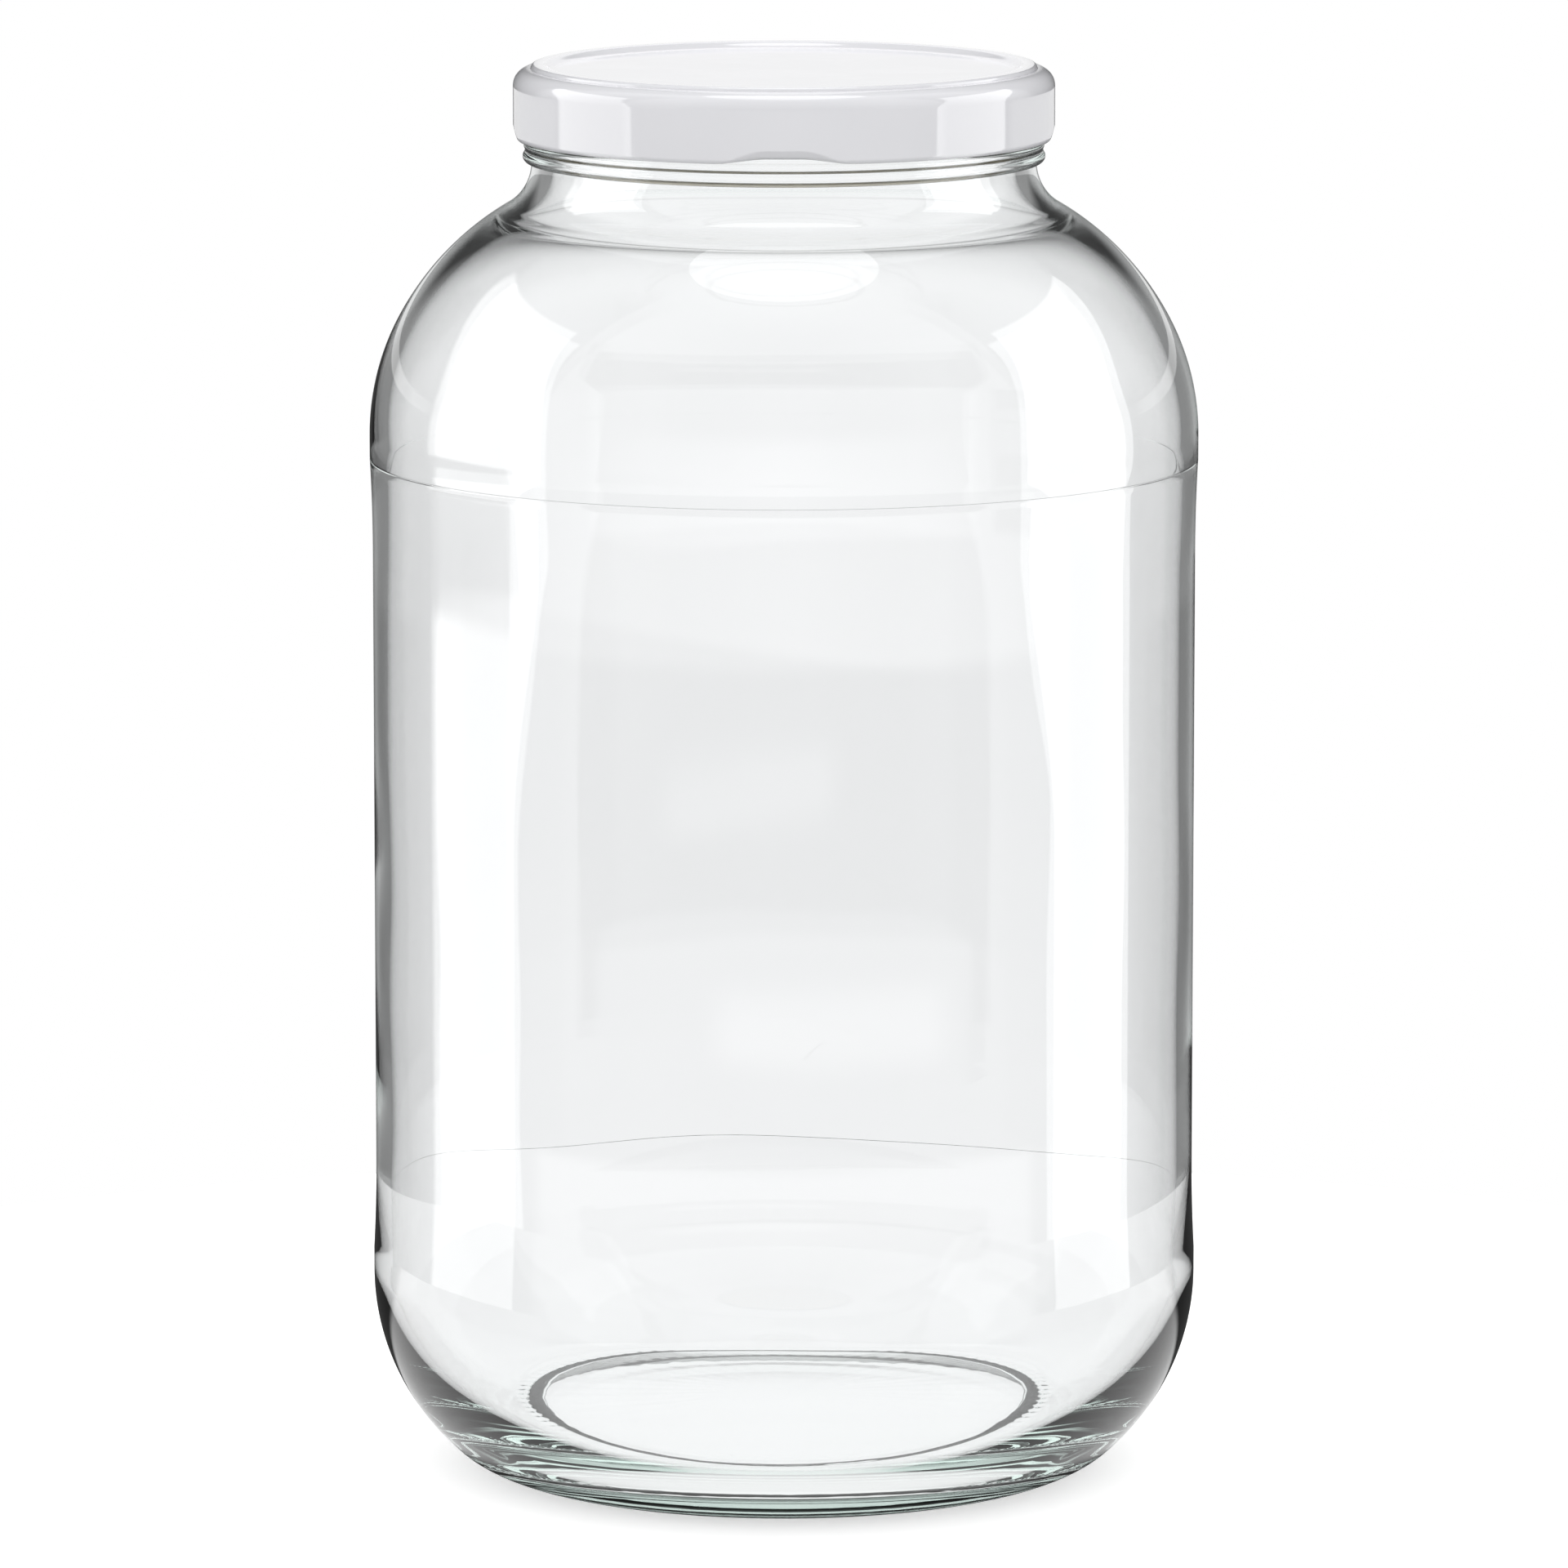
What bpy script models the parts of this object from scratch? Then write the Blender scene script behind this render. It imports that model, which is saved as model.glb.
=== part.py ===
"""Wide-mouth preserving jar: a moulded glass jar, a pressed twist-off lid and its sealing ring.

Metres, +Z up. The origin is the middle of the ring that the jar stands on. At rest the lid
is seated with its lugs between the threads: it can be turned clockwise under them, or
lifted straight off.
"""
import math

import bmesh
import bpy

# Jar body
JAR_HEIGHT = 0.267
BODY_RADIUS = 0.0785
BODY_WALL = 0.0028
PANEL_RECESS = 0.0005
CONTACT_BAND = 0.0043
PANEL_RAMP = 0.018

# Heel and base
HEEL_UPPER_RADIUS = 0.044
HEEL_LOWER_RADIUS = 0.0186
HEEL_ANGLE = math.radians(48.7)
BEARING_WIDTH = 0.0022
PUSH_UP_FILLET = 0.0012
PUSH_UP_DOME = 0.001
HEEL_THICKNESS = 0.0085
BASE_THICKNESS = 0.0055
HEEL_THICKENING = 1.3

# Shoulder: two convex arcs and the hollow fillet that runs into the neck
SHOULDER_LOWER_RADIUS = 0.047
SHOULDER_UPPER_RADIUS = 0.055
SHOULDER_LOWER_ANGLE = math.radians(28.6)
NECK_FILLET = 0.0097
SHOULDER_THICKENING = 1.5

# Neck finish: sealing lip, thread wall and the two beads below the lid
FINISH_RADIUS = 0.0477
FINISH_HEIGHT = 0.0167
NECK_WALL = 0.0042
LIP_OUTER_ROUND = 0.0012
LIP_INNER_ROUND = 0.0014
LOWER_BEAD_HEIGHT = 0.00215
LOWER_BEAD_PROUD = 0.00165
UPPER_BEAD_HEIGHT = 0.0021
UPPER_BEAD_PROUD = 0.00145

# Threads: one short start for each lug
THREAD_COUNT = 4
THREAD_DEPTH = 0.0013
THREAD_THICKNESS = 0.0022
THREAD_FALL = 0.001
THREAD_ROOT = 0.0008
THREAD_ANGLE = math.radians(50)
THREAD_RUNOUT_ANGLE = math.radians(10)
THREAD_BURIED_SHARE = 0.3
THREAD_END_SHARE = 0.55

# Lid shell, pressed from sheet
SHEET = 0.00025
SEAT_GAP = 0.0003
RING_WIDTH = 0.003
RING_OVERHANG = 0.0001
RING_RISE = 0.0008
RING_CORNER = 0.00045
PANEL_DROP = 0.0011
PANEL_CORNER = 0.0004
SKIRT_TO_BEAD = 0.0001
CURL_RADIUS = 0.0009
CURL_SWEEP = math.radians(280)
SKIRT_CLEARANCE = 0.00035

# Lugs, pressed in from the rolled edge
LUG_CLEARANCE = 0.00045
LUG_RISE = 0.0009
LUG_ZONE = 0.0026
LUG_FLAT_ANGLE = math.radians(7)
LUG_FLANK_ANGLE = math.radians(12)
LUG_TO_THREAD = 0.0004
LUG_FACE_SHARE = 0.9

# Sealing ring
GASKET_THICKNESS = 0.00085
GASKET_WRAP_ANGLE = math.radians(40)

# Facets
JAR_STEPS = 52
LID_STEPS = 72
GASKET_STEPS = 40
THREAD_STEPS = 12
MERGE_DISTANCE = 0.000001
SMOOTH_ANGLE = math.radians(35)

# Places that follow from the sizes above
RIM_PLANE = JAR_HEIGHT
NECK_BASE = JAR_HEIGHT - FINISH_HEIGHT
INNER_RADIUS = BODY_RADIUS - PANEL_RECESS - BODY_WALL
NECK_INNER_RADIUS = FINISH_RADIUS - NECK_WALL
HEEL_TOP = HEEL_LOWER_RADIUS + (HEEL_UPPER_RADIUS - HEEL_LOWER_RADIUS) * math.sin(HEEL_ANGLE)
BEARING_RADIUS = (BODY_RADIUS - HEEL_UPPER_RADIUS
                  + (HEEL_UPPER_RADIUS - HEEL_LOWER_RADIUS) * math.cos(HEEL_ANGLE))
PUSH_UP_EDGE = 2 * PUSH_UP_FILLET
PUSH_UP_TOP = PUSH_UP_EDGE + PUSH_UP_DOME
BEADS_TOP = NECK_BASE + LOWER_BEAD_HEIGHT + UPPER_BEAD_HEIGHT

# The lid's own heights are measured from the rim plane
LID_BOTTOM = BEADS_TOP + SKIRT_TO_BEAD - RIM_PLANE
GASKET_TOP = SEAT_GAP + GASKET_THICKNESS
RING_TOP = GASKET_TOP + SEAT_GAP + SHEET
FOOT_TOP = RING_TOP - RING_RISE
PANEL_TOP = RING_TOP - PANEL_DROP
FOOT_FILLET = RING_RISE - RING_CORNER
CURL_INNER_RADIUS = FINISH_RADIUS + THREAD_DEPTH + SKIRT_CLEARANCE
SKIRT_RADIUS = CURL_INNER_RADIUS + 2 * CURL_RADIUS
RING_OUTER_RADIUS = FINISH_RADIUS + RING_OVERHANG
RING_INNER_RADIUS = RING_OUTER_RADIUS - RING_WIDTH
SHOULDER_RADIUS = SKIRT_RADIUS - RING_OUTER_RADIUS - FOOT_FILLET
SHOULDER_BOTTOM = FOOT_TOP - SHOULDER_RADIUS
LUG_REACH = CURL_INNER_RADIUS - FINISH_RADIUS - LUG_CLEARANCE
LUG_TOP = LID_BOTTOM + 2 * CURL_RADIUS + LUG_RISE * (1 - 2 * CURL_RADIUS / LUG_ZONE)
THREAD_PHASE = math.pi / THREAD_COUNT


def arc(centre, radius, start, end, steps):
    """Points on an arc, from one angle to another, both ends included."""
    angles = [start + (end - start) * i / steps for i in range(steps + 1)]
    return [(centre[0] + radius * math.cos(a), centre[1] + radius * math.sin(a)) for a in angles]


def ease(share):
    """Smooth rise from 0 to 1."""
    return 0.5 - 0.5 * math.cos(math.pi * min(max(share, 0.0), 1.0))


def offset_left(points, distances):
    """Each point moved to the left of the path's direction by its own distance."""
    moved = []
    for i, (x, z) in enumerate(points):
        before = points[max(i - 1, 0)]
        after = points[min(i + 1, len(points) - 1)]
        run = (after[0] - before[0], after[1] - before[1])
        length = math.hypot(*run)
        moved.append((x - run[1] / length * distances[i], z + run[0] / length * distances[i]))
    return moved


def path_shares(points):
    """How far along the path each point lies, from 0 to 1."""
    travelled = [0.0]
    for a, b in zip(points, points[1:]):
        travelled.append(travelled[-1] + math.dist(a, b))
    return [t / travelled[-1] for t in travelled]


def material(name, colour, roughness, transmission=0.0, ior=1.5):
    """A Principled material."""
    made = bpy.data.materials.new(name)
    made.use_nodes = True
    shader = made.node_tree.nodes["Principled BSDF"]
    shader.inputs["Base Color"].default_value = (*colour, 1.0)
    shader.inputs["Metallic"].default_value = 0.0
    shader.inputs["Roughness"].default_value = roughness
    shader.inputs["Transmission Weight"].default_value = transmission
    shader.inputs["IOR"].default_value = ior
    made.diffuse_color = (*colour, 1.0)
    return made


def turned(name, outline, steps, closed):
    """A mesh made by spinning an outline of (radius, height) points round the Z axis."""
    bm = bmesh.new()
    verts = [bm.verts.new((r, 0.0, z)) for r, z in outline]
    edges = [bm.edges.new(pair) for pair in zip(verts, verts[1:])]
    if closed:
        edges.append(bm.edges.new((verts[-1], verts[0])))
    bmesh.ops.spin(bm, geom=verts + edges, cent=(0, 0, 0), axis=(0, 0, 1),
                   angle=2 * math.pi, steps=steps, use_merge=True)
    bmesh.ops.remove_doubles(bm, verts=bm.verts, dist=MERGE_DISTANCE)
    bmesh.ops.recalc_face_normals(bm, faces=bm.faces)
    mesh = bpy.data.meshes.new(name)
    bm.to_mesh(mesh)
    bm.free()
    return mesh


def add_object(name, mesh, finish, parent=None):
    """An object with one material, shaded smooth up to the sharp edges."""
    mesh.materials.append(finish)
    mesh.shade_smooth()
    mesh.set_sharp_from_angle(angle=SMOOTH_ANGLE)
    made = bpy.data.objects.new(name, mesh)
    bpy.context.scene.collection.objects.link(made)
    made.parent = parent
    return made


# Glass jar


def base_outline():
    """Underside, from the middle of the push-up out to the standing ring."""
    inner = BEARING_RADIUS - BEARING_WIDTH
    step_out = arc((inner - 2 * PUSH_UP_FILLET, PUSH_UP_FILLET), PUSH_UP_FILLET, math.pi / 2, 0, 2)
    step_down = arc((inner, PUSH_UP_FILLET), PUSH_UP_FILLET, math.pi, 1.5 * math.pi, 2)
    half_way = (step_out[0][0] / 2, PUSH_UP_TOP - PUSH_UP_DOME / 4)
    return [(0.0, PUSH_UP_TOP), half_way] + step_out + step_down[1:]


def heel_outline():
    """Two arcs from the standing ring up to the body."""
    lower = arc((BEARING_RADIUS, HEEL_LOWER_RADIUS), HEEL_LOWER_RADIUS,
                -math.pi / 2, -HEEL_ANGLE, 3)
    upper = arc((BODY_RADIUS - HEEL_UPPER_RADIUS, HEEL_TOP), HEEL_UPPER_RADIUS,
                -HEEL_ANGLE, 0, 5)
    return lower + upper[1:]


def shoulder_outline():
    """Two convex arcs and the fillet, placed so that the fillet ends at the neck's base."""
    lower_x = BODY_RADIUS - SHOULDER_LOWER_RADIUS
    shift = SHOULDER_LOWER_RADIUS - SHOULDER_UPPER_RADIUS
    upper_x = lower_x + shift * math.cos(SHOULDER_LOWER_ANGLE)
    reach = SHOULDER_UPPER_RADIUS + NECK_FILLET
    turn = math.acos((FINISH_RADIUS + NECK_FILLET - upper_x) / reach)
    upper_z = NECK_BASE - reach * math.sin(turn)
    lower_z = upper_z - shift * math.sin(SHOULDER_LOWER_ANGLE)
    lower = arc((lower_x, lower_z), SHOULDER_LOWER_RADIUS, 0, SHOULDER_LOWER_ANGLE, 3)
    upper = arc((upper_x, upper_z), SHOULDER_UPPER_RADIUS, SHOULDER_LOWER_ANGLE, turn, 3)
    fillet = arc((FINISH_RADIUS + NECK_FILLET, NECK_BASE), NECK_FILLET,
                 turn + math.pi, math.pi, 3)
    return lower + upper[1:] + fillet[1:]


def panel_outline(bottom, top):
    """The label panel's two ramps, between the contact bands at its ends."""
    ramp_shares = (0.0, 0.4, 1.0)
    start = bottom + CONTACT_BAND
    end = top - CONTACT_BAND
    rising = [(BODY_RADIUS - PANEL_RECESS * (1 - (1 - s) ** 2), start + PANEL_RAMP * s)
              for s in ramp_shares]
    falling = [(r, end - (z - start)) for r, z in reversed(rising)]
    return rising + falling


def finish_outline():
    """Neck finish, from the neck's base over the beads and the sealing lip to the bore."""
    lower_round = LOWER_BEAD_HEIGHT / 2
    upper_round = UPPER_BEAD_HEIGHT / 2
    lower_middle = NECK_BASE + lower_round
    upper_middle = NECK_BASE + LOWER_BEAD_HEIGHT + upper_round
    lower_bead = arc((FINISH_RADIUS + LOWER_BEAD_PROUD - lower_round, lower_middle),
                     lower_round, -math.pi / 2, math.pi / 2, 4)
    upper_bead = arc((FINISH_RADIUS + UPPER_BEAD_PROUD - upper_round, upper_middle),
                     upper_round, -math.pi / 2, math.pi / 2, 4)
    bead_foot = (FINISH_RADIUS, BEADS_TOP + UPPER_BEAD_PROUD - upper_round)
    lip_outer = arc((FINISH_RADIUS - LIP_OUTER_ROUND, JAR_HEIGHT - LIP_OUTER_ROUND),
                    LIP_OUTER_ROUND, 0, math.pi / 2, 2)
    lip_inner = arc((NECK_INNER_RADIUS + LIP_INNER_ROUND, JAR_HEIGHT - LIP_INNER_ROUND),
                    LIP_INNER_ROUND, math.pi / 2, math.pi, 2)
    return lower_bead + upper_bead[1:] + [bead_foot] + lip_outer + lip_inner


def inner_outline(heel, shoulder):
    """Inside of the jar, from the neck down to the middle of the floor."""
    band_wall = BODY_RADIUS - INNER_RADIUS
    shoulder_walls = [band_wall + (NECK_WALL - band_wall) * s ** SHOULDER_THICKENING
                      for s in path_shares(shoulder)]
    heel_walls = [band_wall + (HEEL_THICKNESS - band_wall) * (1 - s) ** HEEL_THICKENING
                  for s in path_shares(heel)]
    shoulder_inside = offset_left(shoulder, shoulder_walls)
    heel_inside = offset_left(heel, heel_walls)
    floor_top = PUSH_UP_TOP + BASE_THICKNESS
    floor_edge = heel_inside[0]
    half_way = (floor_edge[0] / 2, floor_top - (floor_top - floor_edge[1]) / 4)
    return shoulder_inside[::-1] + heel_inside[::-1] + [half_way, (0.0, floor_top)]


def thread_mesh():
    """Short helical ridges whose ends run out into the wall."""
    bm = bmesh.new()
    root = FINISH_RADIUS - THREAD_ROOT
    low = RIM_PLANE + LUG_TOP + LUG_TO_THREAD + THREAD_THICKNESS / 2
    crest = arc((0.0, 0.0), 1.0, -math.pi / 2, math.pi / 2, 5)
    section = [(root, low - THREAD_THICKNESS / 2)]
    section += [(FINISH_RADIUS + THREAD_DEPTH * x, low + THREAD_THICKNESS / 2 * y)
                for x, y in crest]
    section.append((root, low + THREAD_THICKNESS / 2))
    for k in range(THREAD_COUNT):
        start = THREAD_PHASE + 2 * math.pi * k / THREAD_COUNT - THREAD_ANGLE / 2
        rings = []
        for i in range(THREAD_STEPS + 1):
            share = i / THREAD_STEPS
            angle = start + THREAD_ANGLE * share
            from_end = THREAD_ANGLE * min(share, 1 - share)
            run = ease(from_end / THREAD_RUNOUT_ANGLE)
            depth = THREAD_BURIED_SHARE + (1 - THREAD_BURIED_SHARE) * run
            height = THREAD_END_SHARE + (1 - THREAD_END_SHARE) * run
            rings.append([])
            for r, z in section:
                far = root + (r - root) * depth
                up = low + (z - low) * height + THREAD_FALL * share
                rings[-1].append(bm.verts.new((far * math.cos(angle), far * math.sin(angle), up)))
        for a, b in zip(rings, rings[1:]):
            for j in range(len(section)):
                after = (j + 1) % len(section)
                bm.faces.new((a[j], a[after], b[after], b[j]))
        bm.faces.new(rings[0])
        bm.faces.new(rings[-1])
    bmesh.ops.recalc_face_normals(bm, faces=bm.faces)
    mesh = bpy.data.meshes.new("threads")
    bm.to_mesh(mesh)
    bm.free()
    return mesh


def build_jar():
    """The glass jar: one turned body with its threads united to the neck."""
    heel = heel_outline()
    shoulder = shoulder_outline()
    panel = panel_outline(heel[-1][1], shoulder[0][1])
    outline = base_outline() + heel + panel + shoulder + finish_outline()
    outline += inner_outline(heel, shoulder)
    glass = material("clear_glass", (0.93, 0.97, 0.95), 0.02, transmission=1.0, ior=1.52)
    jar = add_object("jar_glass", turned("jar_glass", outline, JAR_STEPS, closed=False), glass)
    threads = add_object("thread_guide", thread_mesh(), glass)
    threads.hide_render = True
    threads.display_type = "WIRE"
    union = jar.modifiers.new("threads", "BOOLEAN")
    union.operation = "UNION"
    union.solver = "EXACT"
    union.object = threads
    return jar


# Lid


def shell_outer_face():
    """The sheet's outer face, from the panel's middle to the end of the rolled edge."""
    panel_edge = arc((RING_INNER_RADIUS - PANEL_CORNER, PANEL_TOP + PANEL_CORNER), PANEL_CORNER,
                     -math.pi / 2, 0, 2)
    ring_inner = arc((RING_INNER_RADIUS + RING_CORNER, RING_TOP - RING_CORNER), RING_CORNER,
                     math.pi, math.pi / 2, 2)
    ring_outer = arc((RING_OUTER_RADIUS - RING_CORNER, RING_TOP - RING_CORNER), RING_CORNER,
                     math.pi / 2, 0, 2)
    foot = arc((RING_OUTER_RADIUS + FOOT_FILLET, FOOT_TOP + FOOT_FILLET), FOOT_FILLET,
               math.pi, 1.5 * math.pi, 2)
    shoulder = arc((SKIRT_RADIUS - SHOULDER_RADIUS, SHOULDER_BOTTOM), SHOULDER_RADIUS,
                   math.pi / 2, 0, 3)
    blend = (SKIRT_RADIUS, LID_BOTTOM + LUG_ZONE)
    curl = arc((SKIRT_RADIUS - CURL_RADIUS, LID_BOTTOM + CURL_RADIUS), CURL_RADIUS,
               0, -CURL_SWEEP, 6)
    return ([(0.0, PANEL_TOP)] + panel_edge + ring_inner + ring_outer + foot[1:] + shoulder[1:]
            + [blend] + curl)


def lug_window(angle):
    """How far the rolled edge is pressed in at an angle round the lid, from 0 to 1."""
    pitch = 2 * math.pi / THREAD_COUNT
    away = abs((angle + pitch / 2) % pitch - pitch / 2)
    return 1 - ease((away - LUG_FLAT_ANGLE / 2) / LUG_FLANK_ANGLE)


def press_lugs(mesh):
    """The rolled edge pressed in and up at each lug, with an arched dent in the skirt over it."""
    for vert in mesh.vertices:
        x, y, z = vert.co
        radius = math.hypot(x, y)
        above = z - LID_BOTTOM
        if above > LUG_ZONE:
            continue
        press = lug_window(math.atan2(y, x))
        in_roll = above < 2 * CURL_RADIUS + MERGE_DISTANCE
        depth = (SKIRT_RADIUS - radius) / (2 * CURL_RADIUS) if in_roll else 0.0
        dent = max(press - above / LUG_ZONE, 0.0)
        pressed = radius - LUG_REACH * (depth * press + (1 - depth) * dent * LUG_FACE_SHARE)
        vert.co.x = x * pressed / radius
        vert.co.y = y * pressed / radius
        vert.co.z = z + LUG_RISE * dent


def build_shell(parent):
    """The pressed lid: one sheet with a raised ring, a rolled edge and four lugs."""
    outer = shell_outer_face()
    inner = offset_left(outer, [-SHEET] * len(outer))
    inner[0] = (0.0, PANEL_TOP - SHEET)
    enamel = material("white_enamel", (0.83, 0.83, 0.85), 0.18)
    mesh = turned("lid_shell", outer + inner[::-1], LID_STEPS, closed=False)
    press_lugs(mesh)
    return add_object("lid_shell", mesh, enamel, parent)


def build_gasket(parent):
    """The sealing ring in the lid's channel, wrapped over the outer edge of the lip."""
    clear = SHEET + SEAT_GAP
    channel_inner = RING_INNER_RADIUS + clear
    channel_outer = RING_OUTER_RADIUS - clear
    lip = arc((FINISH_RADIUS - LIP_OUTER_ROUND, -LIP_OUTER_ROUND), LIP_OUTER_ROUND + SEAT_GAP,
              math.pi / 2, 0, 2)
    wrap = arc((SKIRT_RADIUS - SHOULDER_RADIUS, SHOULDER_BOTTOM), SHOULDER_RADIUS - clear,
               GASKET_WRAP_ANGLE, math.pi / 2, 2)
    foot = arc((RING_OUTER_RADIUS + FOOT_FILLET, FOOT_TOP + FOOT_FILLET), FOOT_FILLET + clear,
               1.5 * math.pi, 1.25 * math.pi, 1)
    outline = [(channel_inner, SEAT_GAP)] + lip + wrap + foot[1:]
    outline += [(channel_outer, GASKET_TOP), (channel_inner, GASKET_TOP)]
    rubber = material("sealing_compound", (0.80, 0.77, 0.70), 0.55)
    mesh = turned("lid_gasket", outline, GASKET_STEPS, closed=True)
    return add_object("lid_gasket", mesh, rubber, parent)


def main():
    for old in list(bpy.data.objects):
        bpy.data.objects.remove(old, do_unlink=True)
    build_jar()
    seat = bpy.data.objects.new("lid_seat", None)
    seat.location = (0, 0, RIM_PLANE)
    bpy.context.scene.collection.objects.link(seat)
    build_gasket(seat)
    build_shell(seat)


main()
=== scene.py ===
"""Looks of the preserving jar: clear moulded glass, an enamelled twist-off lid, its sealing ring.

Metres, +Z up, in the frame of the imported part. The three pieces are turned again here from the
same sizes as the part, in finer steps, with the small unevenness that moulded glass and
pressed sheet have.
"""
import math

import bpy
import numpy as np
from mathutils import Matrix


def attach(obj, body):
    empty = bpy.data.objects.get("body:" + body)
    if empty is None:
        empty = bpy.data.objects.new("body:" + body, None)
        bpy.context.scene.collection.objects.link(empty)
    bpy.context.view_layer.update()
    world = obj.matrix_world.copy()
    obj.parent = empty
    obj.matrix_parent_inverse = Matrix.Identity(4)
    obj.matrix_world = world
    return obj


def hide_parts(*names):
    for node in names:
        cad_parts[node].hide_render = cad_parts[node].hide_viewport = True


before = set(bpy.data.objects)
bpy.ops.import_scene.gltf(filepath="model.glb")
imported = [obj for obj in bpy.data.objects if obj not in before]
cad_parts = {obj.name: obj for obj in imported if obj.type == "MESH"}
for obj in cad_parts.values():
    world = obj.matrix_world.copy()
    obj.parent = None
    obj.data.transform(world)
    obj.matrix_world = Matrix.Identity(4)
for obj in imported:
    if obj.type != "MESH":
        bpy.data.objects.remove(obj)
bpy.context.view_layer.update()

# Jar body
JAR_HEIGHT = 0.267
BODY_RADIUS = 0.0785
BODY_WALL = 0.0028
PANEL_RECESS = 0.0005
CONTACT_BAND = 0.0043
PANEL_RAMP = 0.018

# Heel and base
HEEL_UPPER_RADIUS = 0.044
HEEL_LOWER_RADIUS = 0.0186
HEEL_ANGLE = math.radians(48.7)
BEARING_WIDTH = 0.0022
PUSH_UP_FILLET = 0.0012
PUSH_UP_DOME = 0.001
HEEL_THICKNESS = 0.0085
BASE_THICKNESS = 0.0055
HEEL_THICKENING = 1.3

# Shoulder
SHOULDER_LOWER_RADIUS = 0.047
SHOULDER_UPPER_RADIUS = 0.055
SHOULDER_LOWER_ANGLE = math.radians(28.6)
NECK_FILLET = 0.0097
SHOULDER_THICKENING = 1.5

# Neck finish
FINISH_RADIUS = 0.0477
FINISH_HEIGHT = 0.0167
NECK_WALL = 0.0042
LIP_OUTER_ROUND = 0.0012
LIP_INNER_ROUND = 0.0014
LOWER_BEAD_HEIGHT = 0.00215
LOWER_BEAD_PROUD = 0.00165
UPPER_BEAD_HEIGHT = 0.0021
UPPER_BEAD_PROUD = 0.00145
BEAD_VALLEY_ANGLE = math.radians(42)

# Threads
THREAD_COUNT = 4
THREAD_DEPTH = 0.0013
THREAD_THICKNESS = 0.0022
THREAD_FALL = 0.001
THREAD_ANGLE = math.radians(50)
THREAD_RUNOUT_ANGLE = math.radians(10)

# Lid shell
SHEET = 0.00025
SEAT_GAP = 0.0003
RING_WIDTH = 0.003
RING_OVERHANG = 0.0001
RING_RISE = 0.0008
RING_CORNER = 0.0007
PANEL_DROP = 0.0011
PANEL_EDGE_INSIDE = 0.0014
PANEL_EDGE_OUTSIDE = 0.0008
SKIRT_TO_BEAD = 0.0001
CURL_RADIUS = 0.0009
CURL_SWEEP = math.radians(280)
SKIRT_CLEARANCE = 0.00035

# Lugs
LUG_CLEARANCE = 0.00045
LUG_RISE = 0.0009
LUG_ZONE = 0.0026
LUG_FLAT_ANGLE = math.radians(7)
LUG_FLANK_ANGLE = math.radians(12)
LUG_TO_THREAD = 0.0004
LUG_FACE_SHARE = 0.9

# Sealing ring
GASKET_THICKNESS = 0.00085
GASKET_WRAP_ANGLE = math.radians(40)

# Places that follow from the sizes above
NECK_BASE = JAR_HEIGHT - FINISH_HEIGHT
INNER_RADIUS = BODY_RADIUS - PANEL_RECESS - BODY_WALL
NECK_INNER_RADIUS = FINISH_RADIUS - NECK_WALL
HEEL_TOP = HEEL_LOWER_RADIUS + (HEEL_UPPER_RADIUS - HEEL_LOWER_RADIUS) * math.sin(HEEL_ANGLE)
BEARING_RADIUS = (BODY_RADIUS - HEEL_UPPER_RADIUS
                  + (HEEL_UPPER_RADIUS - HEEL_LOWER_RADIUS) * math.cos(HEEL_ANGLE))
PUSH_UP_TOP = 2 * PUSH_UP_FILLET + PUSH_UP_DOME
BEADS_TOP = NECK_BASE + LOWER_BEAD_HEIGHT + UPPER_BEAD_HEIGHT
LID_BOTTOM = BEADS_TOP + SKIRT_TO_BEAD
GASKET_TOP = JAR_HEIGHT + SEAT_GAP + GASKET_THICKNESS
RING_TOP = GASKET_TOP + SEAT_GAP + SHEET
FOOT_TOP = RING_TOP - RING_RISE
PANEL_TOP = RING_TOP - PANEL_DROP
FOOT_FILLET = RING_RISE - RING_CORNER
CURL_INNER_RADIUS = FINISH_RADIUS + THREAD_DEPTH + SKIRT_CLEARANCE
SKIRT_RADIUS = CURL_INNER_RADIUS + 2 * CURL_RADIUS
RING_OUTER_RADIUS = FINISH_RADIUS + RING_OVERHANG
RING_INNER_RADIUS = RING_OUTER_RADIUS - RING_WIDTH
SHOULDER_RADIUS = SKIRT_RADIUS - RING_OUTER_RADIUS - FOOT_FILLET
SHOULDER_BOTTOM = FOOT_TOP - SHOULDER_RADIUS
LUG_REACH = CURL_INNER_RADIUS - FINISH_RADIUS - LUG_CLEARANCE
LUG_TOP = LID_BOTTOM + 2 * CURL_RADIUS + LUG_RISE * (1 - 2 * CURL_RADIUS / LUG_ZONE)
THREAD_PHASE = math.pi / THREAD_COUNT

# Fineness of the turned surfaces: columns round, rows up, steps in a curve
COLUMNS = 360
LID_COLUMNS = 480
ROW_STEP = 0.0012
FINE_ROW_STEP = 0.00016
DOME_STEPS = 30
PUSH_UP_STEPS = 16
PANEL_STEPS = 12
LOWER_HEEL_STEPS = 18
UPPER_HEEL_STEPS = 40
LOWER_SHOULDER_STEPS = 22
UPPER_SHOULDER_STEPS = 60
BEAD_STEPS = 12
LIP_STEPS = 8
PANEL_EDGE_STEPS = 24
CORNER_STEPS = 12
FOOT_STEPS = 6
CURL_STEPS = 24

# Tolerance of a test that picks rows by their place
TINY = 1e-6

# Unevenness of the blown inside: size of a ripple, turns round, wavelength up the wall, phase
INSIDE_RIPPLES = (
    (0.00008, 2, 0.110, 0.4),
    (0.00004, 3, 0.062, 1.9),
    (0.000015, 5, 0.041, 3.1),
    (0.00001, 9, 0.150, 0.8),
)
RIPPLE_FADE = 0.02

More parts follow.
